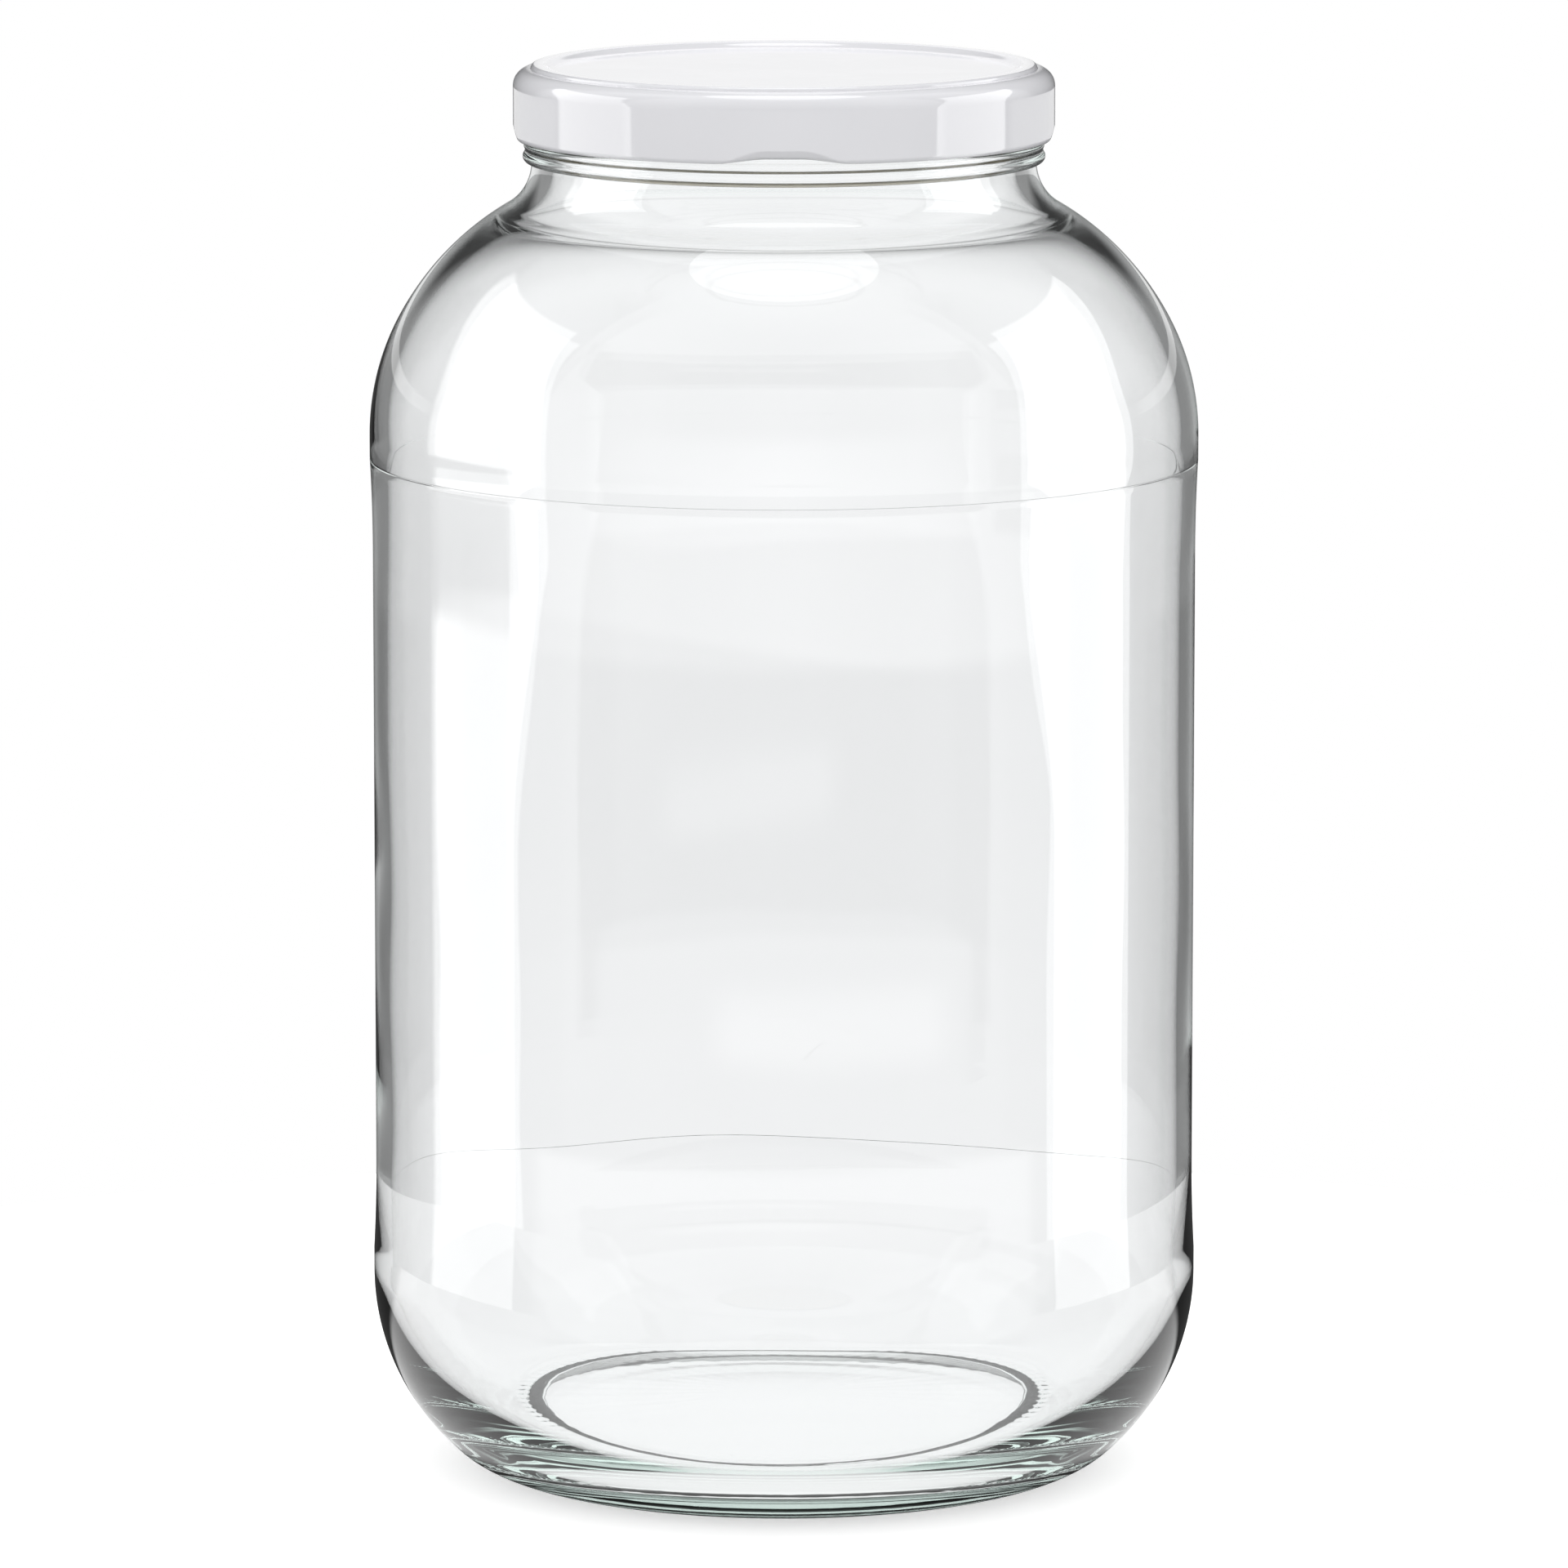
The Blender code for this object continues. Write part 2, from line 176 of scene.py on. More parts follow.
# Unevenness of the push-up's edge: size of a ripple, turns round, phase
PUSH_UP_RIPPLES = ((0.00022, 3, 0.7), (0.00014, 7, 2.1), (0.0001, 16, 0.3), (0.00006, 43, 1.3))
PUSH_UP_STEP = 0.0005

# Crease inside the neck, knurled notches under the standing ring, and the mould's ring seam
NECK_CREASE_HEIGHT = 0.2376
NECK_CREASE_DEPTH = 0.00018
NECK_CREASE_REACH = 0.0009
KNURL_COUNT = 90
KNURL_DEPTH = 0.00022
KNURL_REACH = 1.5
KNURL_WEAR = 0.4
KNURL_WEAR_TURNS = (9, 4)
KNURL_WEAR_PHASE = 1.0
SEAM_DEPTH = 0.00013
SEAM_HALF_WIDTH = 0.00024
SEAM_WEAR = 0.45

# Surface patterns: scale and detail of the noise, then strength and depth of its relief
STREAKS = (45.0, 2.0)
STREAK_STRETCH = (1.0, 1.0, 0.25)
STREAK_RELIEF = (0.02, 0.0004)
HAZE = (18.0, 3.0)
CLOUD = (60.0, 4.0)
ORANGE_PEEL = (900.0, 1.0)
ORANGE_PEEL_RELIEF = (0.02, 0.00005)
MOTTLE = (350.0, 5.0)
MOTTLE_RELIEF = (0.3, 0.0001)
FLOOR_CLOUD = (6.0, 2.0)
CONTACT_NOISE = (260.0, 2.0)
NOISE_RANGE = (0.3, 0.7)

# Clear glass
GLASS_IOR = 1.52
GLASS_ROUGHNESS = 0.003
GLASS_TINTS = ((0.984, 0.985, 0.990, 1), (0.978, 0.980, 0.985, 1))
# Painted edge shade: a dark colour mixed into the glass where it turns away from the view, its
# facing limits and its strength
GLASS_PAINTED_EDGE_SHADE = (0.22, 0.25, 0.24, 1)
GLASS_PAINTED_SHADE_FACING = (0.84, 0.98)
GLASS_PAINTED_SHADE_STRENGTH = 0.65
GLASS_DEPTH_COLOUR = (0.79, 0.885, 0.85, 1)
GLASS_DEPTH_DENSITY = 13.0

# White enamel, cream lacquer and sealing compound: pairs of colours and of roughnesses
ENAMEL_COLOURS = ((0.82, 0.82, 0.85, 1), (0.85, 0.85, 0.88, 1))
LACQUER_COLOURS = ((0.74, 0.66, 0.47, 1), (0.80, 0.73, 0.55, 1))
ENAMEL_ROUGHNESS = (0.05, 0.09)
ENAMEL_IOR = 1.65
ENAMEL_COAT = 0.35
ENAMEL_COAT_ROUGHNESS = 0.04
COMPOUND_COLOURS = ((0.74, 0.71, 0.63, 1), (0.84, 0.82, 0.76, 1))
COMPOUND_ROUGHNESS = (0.45, 0.6)
WHITE = (1.0, 1.0, 1.0, 1)


def arc(centre, radius, start, end, steps):
    """Points on an arc, from one angle to another, both ends included."""
    angles = [start + (end - start) * i / steps for i in range(steps + 1)]
    return [(centre[0] + radius * math.cos(a), centre[1] + radius * math.sin(a)) for a in angles]


def line(start, end, step):
    """Points on a straight run, without its two ends."""
    count = max(1, round(math.dist(start, end) / step))
    return [(start[0] + (end[0] - start[0]) * i / count, start[1] + (end[1] - start[1]) * i / count)
            for i in range(1, count)]


def ease(share):
    """Smooth rise from 0 to 1, for one number or an array."""
    return 0.5 - 0.5 * np.cos(math.pi * np.clip(share, 0.0, 1.0))


def offset_left(points, distances):
    """Each point moved to the left of the path's direction by its own distance."""
    moved = []
    for i, (x, z) in enumerate(points):
        before = points[max(i - 1, 0)]
        after = points[min(i + 1, len(points) - 1)]
        run = (after[0] - before[0], after[1] - before[1])
        length = math.hypot(*run)
        moved.append((x - run[1] / length * distances[i], z + run[0] / length * distances[i]))
    return moved


def path_shares(points):
    """How far along the path each point lies, from 0 to 1."""
    travelled = [0.0]
    for a, b in zip(points, points[1:]):
        travelled.append(travelled[-1] + math.dist(a, b))
    return [t / travelled[-1] for t in travelled]


def turned_grid(outline, columns):
    """Radius, height and angle arrays of a turned surface, one row for each outline point."""
    radius = np.array([p[0] for p in outline])[:, None] * np.ones(columns)
    height = np.array([p[1] for p in outline])[:, None] * np.ones(columns)
    angle = np.ones((len(outline), 1)) * (np.arange(columns) * 2 * math.pi / columns)
    return radius, height, angle


def turned_mesh(name, radius, height, angle, closed):
    """A mesh from turned rows: poles at both ends of an open outline, or a closed ring."""
    rows, columns = radius.shape
    first = 0 if closed else 1
    last = rows if closed else rows - 1
    inner = slice(first, last)
    x = (radius * np.cos(angle))[inner].ravel()
    y = (radius * np.sin(angle))[inner].ravel()
    verts = np.column_stack([x, y, height[inner].ravel()]).tolist()
    count = last - first
    faces = []
    for i in range(count if closed else count - 1):
        below = i * columns
        above = (i + 1) % count * columns
        for j in range(columns):
            k = (j + 1) % columns
            faces.append((below + j, below + k, above + k, above + j))
    if not closed:
        verts.append([0.0, 0.0, float(height[0, 0])])
        verts.append([0.0, 0.0, float(height[-1, 0])])
        start_pole = len(verts) - 2
        end_pole = len(verts) - 1
        top = (count - 1) * columns
        for j in range(columns):
            k = (j + 1) % columns
            faces.append((start_pole, k, j))
            faces.append((end_pole, top + j, top + k))
    mesh = bpy.data.meshes.new(name)
    mesh.from_pydata(verts, [], faces)
    mesh.validate()
    mesh.shade_smooth()
    return mesh


def new_object(mesh, finish):
    """An object of the scene with the mesh's own name."""
    mesh.materials.append(finish)
    made = bpy.data.objects.new(mesh.name, mesh)
    bpy.context.scene.collection.objects.link(made)
    return made


def add_piece(mesh, finish, body, slot, *nodes):
    """A piece that rides on a body and stands for CAD nodes."""
    piece = new_object(mesh, finish)
    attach(piece, body)
    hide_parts(*nodes)
    return piece


class Nodes:
    """Short ways to add and link shader nodes."""

    def __init__(self, tree):
        self.tree = tree

    def add(self, kind, settings=None, **inputs):
        """A node with its settings, and its inputs set to values or linked to sockets."""
        node = self.tree.nodes.new("ShaderNode" + kind)
        for key, value in (settings or {}).items():
            setattr(node, key, value)
        for key, value in inputs.items():
            self.put(node, key.replace("_", " "), value)
        return node

    def put(self, node, key, value):
        """Sets or links one input of a node, by its name or number."""
        socket = node.inputs[int(key) if key.isdigit() else key]
        if isinstance(value, bpy.types.NodeSocket):
            self.tree.links.new(value, socket)
        else:
            socket.default_value = value

    def math(self, operation, first, second=0.0):
        """The output of a Math node."""
        node = self.add("Math", {"operation": operation})
        self.put(node, "0", first)
        self.put(node, "1", second)
        return node.outputs[0]

    def product(self, *factors):
        """The output of a chain of multiplications."""
        total = factors[0]
        for factor in factors[1:]:
            total = self.math("MULTIPLY", total, factor)
        return total

    def smooth(self, value, low, high, low_result=0.0, high_result=1.0):
        """The output of a smooth Map Range."""
        node = self.add("MapRange", {"interpolation_type": "SMOOTHSTEP"}, Value=value)
        for key, number in zip(("From Min", "From Max", "To Min", "To Max"),
                               (low, high, low_result, high_result)):
            self.put(node, key, number)
        return node.outputs["Result"]

    def blend(self, factor, first, second):
        """The output of a mix of two numbers."""
        return self.add("Mix", {"data_type": "FLOAT"}, Factor=factor, A=first, B=second).outputs[0]

    def mix(self, factor, first, second):
        """The output of a colour mix."""
        node = self.add("Mix", {"data_type": "RGBA"})
        self.put(node, "0", factor)
        self.put(node, "6", first)
        self.put(node, "7", second)
        return node.outputs[2]

    def noise(self, place, scale, detail):
        """The value of a noise texture."""
        return self.add("TexNoise", Vector=place, Scale=scale, Detail=detail).outputs["Fac"]

    def bump(self, shader, height, strength, distance):
        """Gives a shader a bump."""
        made = self.add("Bump", Height=height, Strength=strength, Distance=distance)
        self.put(shader, "Normal", made.outputs["Normal"])


def new_material(name):
    """An empty node material: its helper, its Principled shader and its output."""
    made = bpy.data.materials.new(name)
    made.use_nodes = True
    nodes = Nodes(made.node_tree)
    shader = made.node_tree.nodes["Principled BSDF"]
    output = made.node_tree.nodes["Material Output"]
    return made, nodes, shader, output


def glass_material():
    """Clear container glass, faintly green where it is thick, with painted shade darkening it where
    it turns away.
    """
    made, nodes, shader, output = new_material("clear_container_glass")
    nodes.put(shader, "IOR", GLASS_IOR)
    nodes.put(shader, "Transmission Weight", 1.0)
    place = nodes.add("TexCoord").outputs["Object"]
    stretched = nodes.add("Mapping", Vector=place, Scale=STREAK_STRETCH).outputs[0]
    nodes.bump(shader, nodes.noise(stretched, *STREAKS), *STREAK_RELIEF)
    haze = nodes.noise(place, *HAZE)
    nodes.put(shader, "Roughness", nodes.smooth(haze, *NOISE_RANGE, 0.0, GLASS_ROUGHNESS))
    # Painted shade: the glass colour turns dark grey where the surface turns away, to draw a dark
    # outline
    facing = nodes.add("LayerWeight").outputs["Facing"]
    edge = nodes.smooth(facing, *GLASS_PAINTED_SHADE_FACING, 0.0, GLASS_PAINTED_SHADE_STRENGTH)
    tint = nodes.mix(haze, *GLASS_TINTS)
    nodes.put(shader, "Base Color", nodes.mix(edge, tint, GLASS_PAINTED_EDGE_SHADE))
    volume = nodes.add("VolumeAbsorption", Color=GLASS_DEPTH_COLOUR, Density=GLASS_DEPTH_DENSITY)
    nodes.tree.links.new(volume.outputs[0], output.inputs["Volume"])
    return made


def enamel_material():
    """White baked enamel on tinplate, cream lacquer inside."""
    made, nodes, shader, _ = new_material("white_baked_enamel")
    place = nodes.add("TexCoord").outputs["Object"]
    cloud = nodes.noise(place, *CLOUD)
    inside = nodes.add("Attribute", {"attribute_name": "inside"}).outputs["Fac"]
    white = nodes.mix(cloud, *ENAMEL_COLOURS)
    lacquer = nodes.mix(cloud, *LACQUER_COLOURS)
    nodes.put(shader, "Base Color", nodes.mix(inside, white, lacquer))
    nodes.bump(shader, nodes.noise(place, *ORANGE_PEEL), *ORANGE_PEEL_RELIEF)
    nodes.put(shader, "Roughness", nodes.smooth(cloud, *NOISE_RANGE, *ENAMEL_ROUGHNESS))
    nodes.put(shader, "IOR", ENAMEL_IOR)
    nodes.put(shader, "Coat Weight", ENAMEL_COAT)
    nodes.put(shader, "Coat Roughness", ENAMEL_COAT_ROUGHNESS)
    return made


def compound_material():
    """Off-white sealing compound, matt and slightly mottled."""
    made, nodes, shader, _ = new_material("off_white_compound")
    place = nodes.add("TexCoord").outputs["Object"]
    mottle = nodes.noise(place, *MOTTLE)
    nodes.put(shader, "Base Color", nodes.mix(mottle, *COMPOUND_COLOURS))
    nodes.bump(shader, mottle, *MOTTLE_RELIEF)
    nodes.put(shader, "Roughness", nodes.smooth(mottle, *NOISE_RANGE, *COMPOUND_ROUGHNESS))
    return made


def base_outline():
    """Underside, from the middle of the push-up out to the standing ring."""
    inner = BEARING_RADIUS - BEARING_WIDTH
    edge = inner - PUSH_UP_STEP
    dome = [(edge * i / DOME_STEPS,
             2 * PUSH_UP_FILLET + PUSH_UP_DOME * (1 - (i / DOME_STEPS) ** 2))
            for i in range(DOME_STEPS)]
    step = []
    for i in range(PUSH_UP_STEPS + 1):
        turn = math.pi * i / PUSH_UP_STEPS
        step.append((edge + PUSH_UP_STEP * (i / PUSH_UP_STEPS - math.sin(2 * turn) / (2 * math.pi)),
                     PUSH_UP_FILLET * (1 + math.cos(turn))))
    return dome + step


def heel_outline():
    """Two arcs from the standing ring up to the body."""
    lower = arc((BEARING_RADIUS, HEEL_LOWER_RADIUS), HEEL_LOWER_RADIUS,
                -math.pi / 2, -HEEL_ANGLE, LOWER_HEEL_STEPS)
    upper = arc((BODY_RADIUS - HEEL_UPPER_RADIUS, HEEL_TOP), HEEL_UPPER_RADIUS,
                -HEEL_ANGLE, 0, UPPER_HEEL_STEPS)
    return lower + upper[1:]


def shoulder_outline():
    """Two convex arcs and the fillet, placed so that the fillet ends at the neck's base."""
    lower_x = BODY_RADIUS - SHOULDER_LOWER_RADIUS
    shift = SHOULDER_LOWER_RADIUS - SHOULDER_UPPER_RADIUS
    upper_x = lower_x + shift * math.cos(SHOULDER_LOWER_ANGLE)
    reach = SHOULDER_UPPER_RADIUS + NECK_FILLET
    turn = math.acos((FINISH_RADIUS + NECK_FILLET - upper_x) / reach)
    upper_z = NECK_BASE - reach * math.sin(turn)
    lower_z = upper_z - shift * math.sin(SHOULDER_LOWER_ANGLE)
    lower = arc((lower_x, lower_z), SHOULDER_LOWER_RADIUS, 0, SHOULDER_LOWER_ANGLE,
                LOWER_SHOULDER_STEPS)
    upper = arc((upper_x, upper_z), SHOULDER_UPPER_RADIUS, SHOULDER_LOWER_ANGLE, turn,
                UPPER_SHOULDER_STEPS)
    fillet = arc((FINISH_RADIUS + NECK_FILLET, NECK_BASE), NECK_FILLET, turn + math.pi, math.pi,
                 UPPER_SHOULDER_STEPS)
    return lower + upper[1:] + fillet[1:]


def panel_outline(bottom, top):
    """The label panel between its two contact bands."""
    start = bottom + CONTACT_BAND
    end = top - CONTACT_BAND
    shares = [i / PANEL_STEPS for i in range(PANEL_STEPS + 1)]
    rising = [(BODY_RADIUS - PANEL_RECESS * (1 - (1 - s) ** 2), start + PANEL_RAMP * s)
              for s in shares]
    falling = [(r, end - (z - start)) for r, z in reversed(rising)]
    seam = [(BODY_RADIUS, end - SEAM_HALF_WIDTH), (BODY_RADIUS, end + SEAM_HALF_WIDTH)]
    return (rising + line(rising[-1], falling[0], ROW_STEP) + falling[:-1]
            + [seam[0]] + line(*seam, SEAM_HALF_WIDTH / 3) + [seam[1]])


def finish_outline():
    """Neck finish, from the neck's base over the beads and the sealing lip to the bore."""
    lower_round = LOWER_BEAD_HEIGHT / 2
    upper_round = UPPER_BEAD_HEIGHT / 2
    lower_bead = arc((FINISH_RADIUS + LOWER_BEAD_PROUD - lower_round, NECK_BASE + lower_round),
                     lower_round, -math.pi / 2, BEAD_VALLEY_ANGLE, BEAD_STEPS)
    upper_bead = arc((FINISH_RADIUS + UPPER_BEAD_PROUD - upper_round,
                      NECK_BASE + LOWER_BEAD_HEIGHT + upper_round),
                     upper_round, -BEAD_VALLEY_ANGLE, math.pi / 2, BEAD_STEPS)
    bead_foot = (FINISH_RADIUS, BEADS_TOP + UPPER_BEAD_PROUD - upper_round)
    lip_outer = arc((FINISH_RADIUS - LIP_OUTER_ROUND, JAR_HEIGHT - LIP_OUTER_ROUND),
                    LIP_OUTER_ROUND, 0, math.pi / 2, LIP_STEPS)
    lip_inner = arc((NECK_INNER_RADIUS + LIP_INNER_ROUND, JAR_HEIGHT - LIP_INNER_ROUND),
                    LIP_INNER_ROUND, math.pi / 2, math.pi, LIP_STEPS)
    wall = line(bead_foot, lip_outer[0], FINE_ROW_STEP)
    return lower_bead + upper_bead + [bead_foot] + wall + lip_outer + lip_inner


def inner_outline(heel, shoulder):
    """Inside of the jar, from the neck down to the middle of the floor."""
    band_wall = BODY_RADIUS - INNER_RADIUS
    shoulder_walls = [band_wall + (NECK_WALL - band_wall) * s ** SHOULDER_THICKENING
                      for s in path_shares(shoulder)]
    heel_walls = [band_wall + (HEEL_THICKNESS - band_wall) * (1 - s) ** HEEL_THICKENING
                  for s in path_shares(heel)]
    shoulder_inside = offset_left(shoulder, shoulder_walls)[::-1]
    heel_inside = offset_left(heel, heel_walls)[::-1]
    bore_top = (NECK_INNER_RADIUS, JAR_HEIGHT - LIP_INNER_ROUND)
    bore = line(bore_top, shoulder_inside[0], ROW_STEP)
    wall = line(shoulder_inside[-1], heel_inside[0], ROW_STEP)
    floor_top = PUSH_UP_TOP + BASE_THICKNESS
    edge_radius, edge_height = heel_inside[-1]
    shares = [1 - i / DOME_STEPS for i in range(1, DOME_STEPS + 1)]
    floor = [(edge_radius * s, floor_top + (edge_height - floor_top) * s ** 2) for s in shares]
    return bore + shoulder_inside + wall + heel_inside + floor


def thread_rise(angle, height):
    """How far the threads stand out of the finish wall, for arrays of angles and heights."""
    pitch = 2 * math.pi / THREAD_COUNT
    along = (angle - THREAD_PHASE + pitch / 2) % pitch - pitch / 2 + THREAD_ANGLE / 2
    share = along / THREAD_ANGLE
    run = ease(np.minimum(along, THREAD_ANGLE - along) / THREAD_RUNOUT_ANGLE)
    middle = LUG_TOP + LUG_TO_THREAD + THREAD_THICKNESS / 2 + THREAD_FALL * share
    away = np.clip(np.abs(height - middle) / (THREAD_THICKNESS / 2), 0.0, 1.0)
    return THREAD_DEPTH * run * np.sqrt(1 - away ** 2)


def inside_ripple(angle, height):
    """Unevenness of the inside wall."""
    total = np.zeros_like(angle)
    for size, turns, wavelength, phase in INSIDE_RIPPLES:
        total += size * np.sin(turns * angle + 2 * math.pi * height / wavelength + phase)
    return total


def knurls(angle, radius, height):
    """How far the standing ring is notched upward, a fine radial pattern."""
    middle = BEARING_RADIUS - BEARING_WIDTH / 2
    near = ease(KNURL_REACH - np.abs(radius - middle) / BEARING_WIDTH)
    low = ease(1 - height / PUSH_UP_FILLET)
    beat = 0.5 + 0.5 * np.sin(KNURL_COUNT * angle)
    first, second = KNURL_WEAR_TURNS
    wear = np.sin(first * angle + KNURL_WEAR_PHASE) * np.sin(second * angle)
    return KNURL_DEPTH * near * low * beat * (1 - KNURL_WEAR + KNURL_WEAR * wear)


def ring_seam(angle, height, seam_height):
    """Depth of the mould's ring seam, a groove that is worn fainter on one side."""
    worn = 1 - SEAM_WEAR - SEAM_WEAR * np.sin(angle)
    return SEAM_DEPTH * worn * ease(1 - np.abs(height - seam_height) / SEAM_HALF_WIDTH)


def push_up_ripple(angle, radius, height):
    """Unevenness of the push-up, strongest at its edge."""
    ripple = sum(size * np.sin(turns * angle + phase) for size, turns, phase in PUSH_UP_RIPPLES)
    return ripple * ease(radius / RIPPLE_FADE) * ease(height / PUSH_UP_FILLET)


def build_jar():
    """The glass jar in one closed surface, threads and inside ripples included."""
    heel = heel_outline()
    shoulder = shoulder_outline()
    outside = base_outline() + heel
    outside += panel_outline(heel[-1][1], shoulder[0][1]) + shoulder + finish_outline()
    inside = inner_outline(heel, shoulder)
    radius, height, angle = turned_grid(outside + inside, COLUMNS)
    is_inside = np.arange(len(radius))[:, None] >= len(outside)
    is_body = (radius > FINISH_RADIUS) & ~is_inside
    seam = ring_seam(angle, height, shoulder[0][1] - CONTACT_BAND)
    radius = radius - np.where(is_body, seam, 0.0)
    is_wall = (height > BEADS_TOP) & (radius > FINISH_RADIUS - TINY) & ~is_inside
    radius = radius + np.where(is_wall, thread_rise(angle, height), 0.0)
    is_low = (height < PUSH_UP_TOP + TINY) & ~is_inside
    is_base = is_low & (radius < BEARING_RADIUS + BEARING_WIDTH)
    radius = radius + np.where(is_base, push_up_ripple(angle, radius, height), 0.0)
    height = height + np.where(is_base, knurls(angle, radius, height), 0.0)
    floor_top = PUSH_UP_TOP + BASE_THICKNESS
    fade = ease((height - floor_top) / RIPPLE_FADE) * ease((NECK_BASE - height) / RIPPLE_FADE)
    radius = radius + np.where(is_inside, inside_ripple(angle, height) * fade, 0.0)
    crease = np.exp(-np.abs(height - NECK_CREASE_HEIGHT) / NECK_CREASE_REACH)
    radius = radius - np.where(is_inside, NECK_CREASE_DEPTH * crease, 0.0)
    mesh = turned_mesh("glass_jar", radius, height, angle, closed=False)
    return add_piece(mesh, glass_material(), "jar", "clear_glass", "jar_glass")


def shell_outer_face():
    """The sheet's outer face, from the panel's middle to the end of the rolled edge."""
    edge_start = RING_INNER_RADIUS - PANEL_EDGE_INSIDE
    edge_width = PANEL_EDGE_INSIDE + PANEL_EDGE_OUTSIDE
    shares = [i / PANEL_EDGE_STEPS for i in range(PANEL_EDGE_STEPS + 1)]
    panel_edge = [(edge_start + edge_width * s, PANEL_TOP + PANEL_DROP * float(ease(s)))
                  for s in shares]
    ring_outer = arc((RING_OUTER_RADIUS - RING_CORNER, RING_TOP - RING_CORNER), RING_CORNER,
                     math.pi / 2, 0, CORNER_STEPS)
    foot = arc((RING_OUTER_RADIUS + FOOT_FILLET, FOOT_TOP + FOOT_FILLET), FOOT_FILLET,
               math.pi, 1.5 * math.pi, FOOT_STEPS)
    shoulder = arc((SKIRT_RADIUS - SHOULDER_RADIUS, SHOULDER_BOTTOM), SHOULDER_RADIUS,
                   math.pi / 2, 0, CORNER_STEPS)
    curl = arc((SKIRT_RADIUS - CURL_RADIUS, LID_BOTTOM + CURL_RADIUS), CURL_RADIUS,
               0, -CURL_SWEEP, CURL_STEPS)
    centre = (0.0, PANEL_TOP)
    panel = line(centre, panel_edge[0], ROW_STEP)
    skirt = line(shoulder[-1], curl[0], FINE_ROW_STEP)
    return [centre] + panel + panel_edge + ring_outer + foot[1:] + shoulder[1:] + skirt + curl


def lug_window(angle):
    """How far the rolled edge is pressed in at an angle round the lid, from 0 to 1."""
    pitch = 2 * math.pi / THREAD_COUNT
    away = np.abs((angle + pitch / 2) % pitch - pitch / 2)
    return 1 - ease((away - LUG_FLAT_ANGLE / 2) / LUG_FLANK_ANGLE)


def build_lid():
    """The pressed lid: enamelled sheet with a raised ring, a rolled edge and four lugs."""
    outer = shell_outer_face()
    inner = offset_left(outer, [-SHEET] * len(outer))
    inner[0] = (0.0, PANEL_TOP - SHEET)
    radius, height, angle = turned_grid(outer + inner[::-1], LID_COLUMNS)
    above = height - LID_BOTTOM
    press = lug_window(angle)
    dent = np.maximum(press - above / LUG_ZONE, 0.0)
    in_roll = above < 2 * CURL_RADIUS + TINY
    depth = np.where(in_roll, (SKIRT_RADIUS - radius) / (2 * CURL_RADIUS), 0.0)
    radius = radius - LUG_REACH * (depth * press + (1 - depth) * dent * LUG_FACE_SHARE)
    height = height + LUG_RISE * dent
    mesh = turned_mesh("twist_lid", radius, height, angle, closed=False)
    lid = add_piece(mesh, enamel_material(), "lid", "white_enamel", "lid_shell")
    lacquer_start = len(outer) - 1 - CURL_STEPS // 2
    rows = np.arange(1, len(outer) * 2 - 1)
    inside = (rows >= lacquer_start).astype(np.float32)
    values = np.repeat(inside, LID_COLUMNS).tolist() + [0.0, 1.0]
    attribute = lid.data.attributes.new("inside", "FLOAT", "POINT")
    attribute.data.foreach_set("value", values)
    return lid


def build_sealing_ring():
    """The sealing ring in the lid's channel, wrapped over the outer edge of the lip."""
    clear = SHEET + SEAT_GAP
    low = JAR_HEIGHT + SEAT_GAP
    channel_inner = RING_INNER_RADIUS + clear
    channel_outer = RING_OUTER_RADIUS - clear
    lip = arc((FINISH_RADIUS - LIP_OUTER_ROUND, JAR_HEIGHT - LIP_OUTER_ROUND),
              LIP_OUTER_ROUND + SEAT_GAP, math.pi / 2, 0, LIP_STEPS)
    wrap = arc((SKIRT_RADIUS - SHOULDER_RADIUS, SHOULDER_BOTTOM), SHOULDER_RADIUS - clear,
               GASKET_WRAP_ANGLE, math.pi / 2, LIP_STEPS)
    foot = arc((RING_OUTER_RADIUS + FOOT_FILLET, FOOT_TOP + FOOT_FILLET), FOOT_FILLET + clear,
               1.5 * math.pi, 1.25 * math.pi, LIP_STEPS // 2)
    outline = [(channel_inner, low)] + lip + wrap + foot[1:]
    outline += [(channel_outer, GASKET_TOP), (channel_inner, GASKET_TOP)]
    radius, height, angle = turned_grid(outline, LID_COLUMNS)
    mesh = turned_mesh("sealing_ring", radius, height, angle, closed=True)
    return add_piece(mesh, compound_material(), "seal", "sealing_compound", "lid_gasket")


# Camera and floor
CAMERA_DISTANCE = 2.144
CAMERA_HEIGHT = 0.4721
CAMERA_AIM_HEIGHT = 0.1311
CAMERA_LENS = 261.7
CAMERA_REACH = 50.0
SENSOR_WIDTH = 36.0
FLOOR_RADIUS = 0.3
FLOOR_SIDES = 128
FLOOR_DROP = 0.0001
FLOOR_COLOURS = ((0.88, 0.88, 0.88, 1), (0.9, 0.9, 0.9, 1))
FLOOR_ROUGHNESS = 0.9
FLOOR_GLOW = 0.5
# Level of the painted shade on the table, then the radii where the painted shadow under the jar's
# overhang fades out
FLOOR_SHADE = 0.06
SHADOW_UNDER_JAR = (0.061, 0.067)
# Painted contact shadow, a dark line on the table where the standing ring touches it: its limits
# and softness
CONTACT_SHADOW_RING = (BEARING_RADIUS - BEARING_WIDTH - 0.0009, BEARING_RADIUS + 0.0006, 0.0002)
CONTACT_SHADOW_RAGGED = 0.0016

# Light tent. Azimuths are in degrees from the front, heights in metres, and 1 is white.
TENT_RADIUS = 0.3
TENT_HEIGHT = 1.2
TENT_SIDES = 180
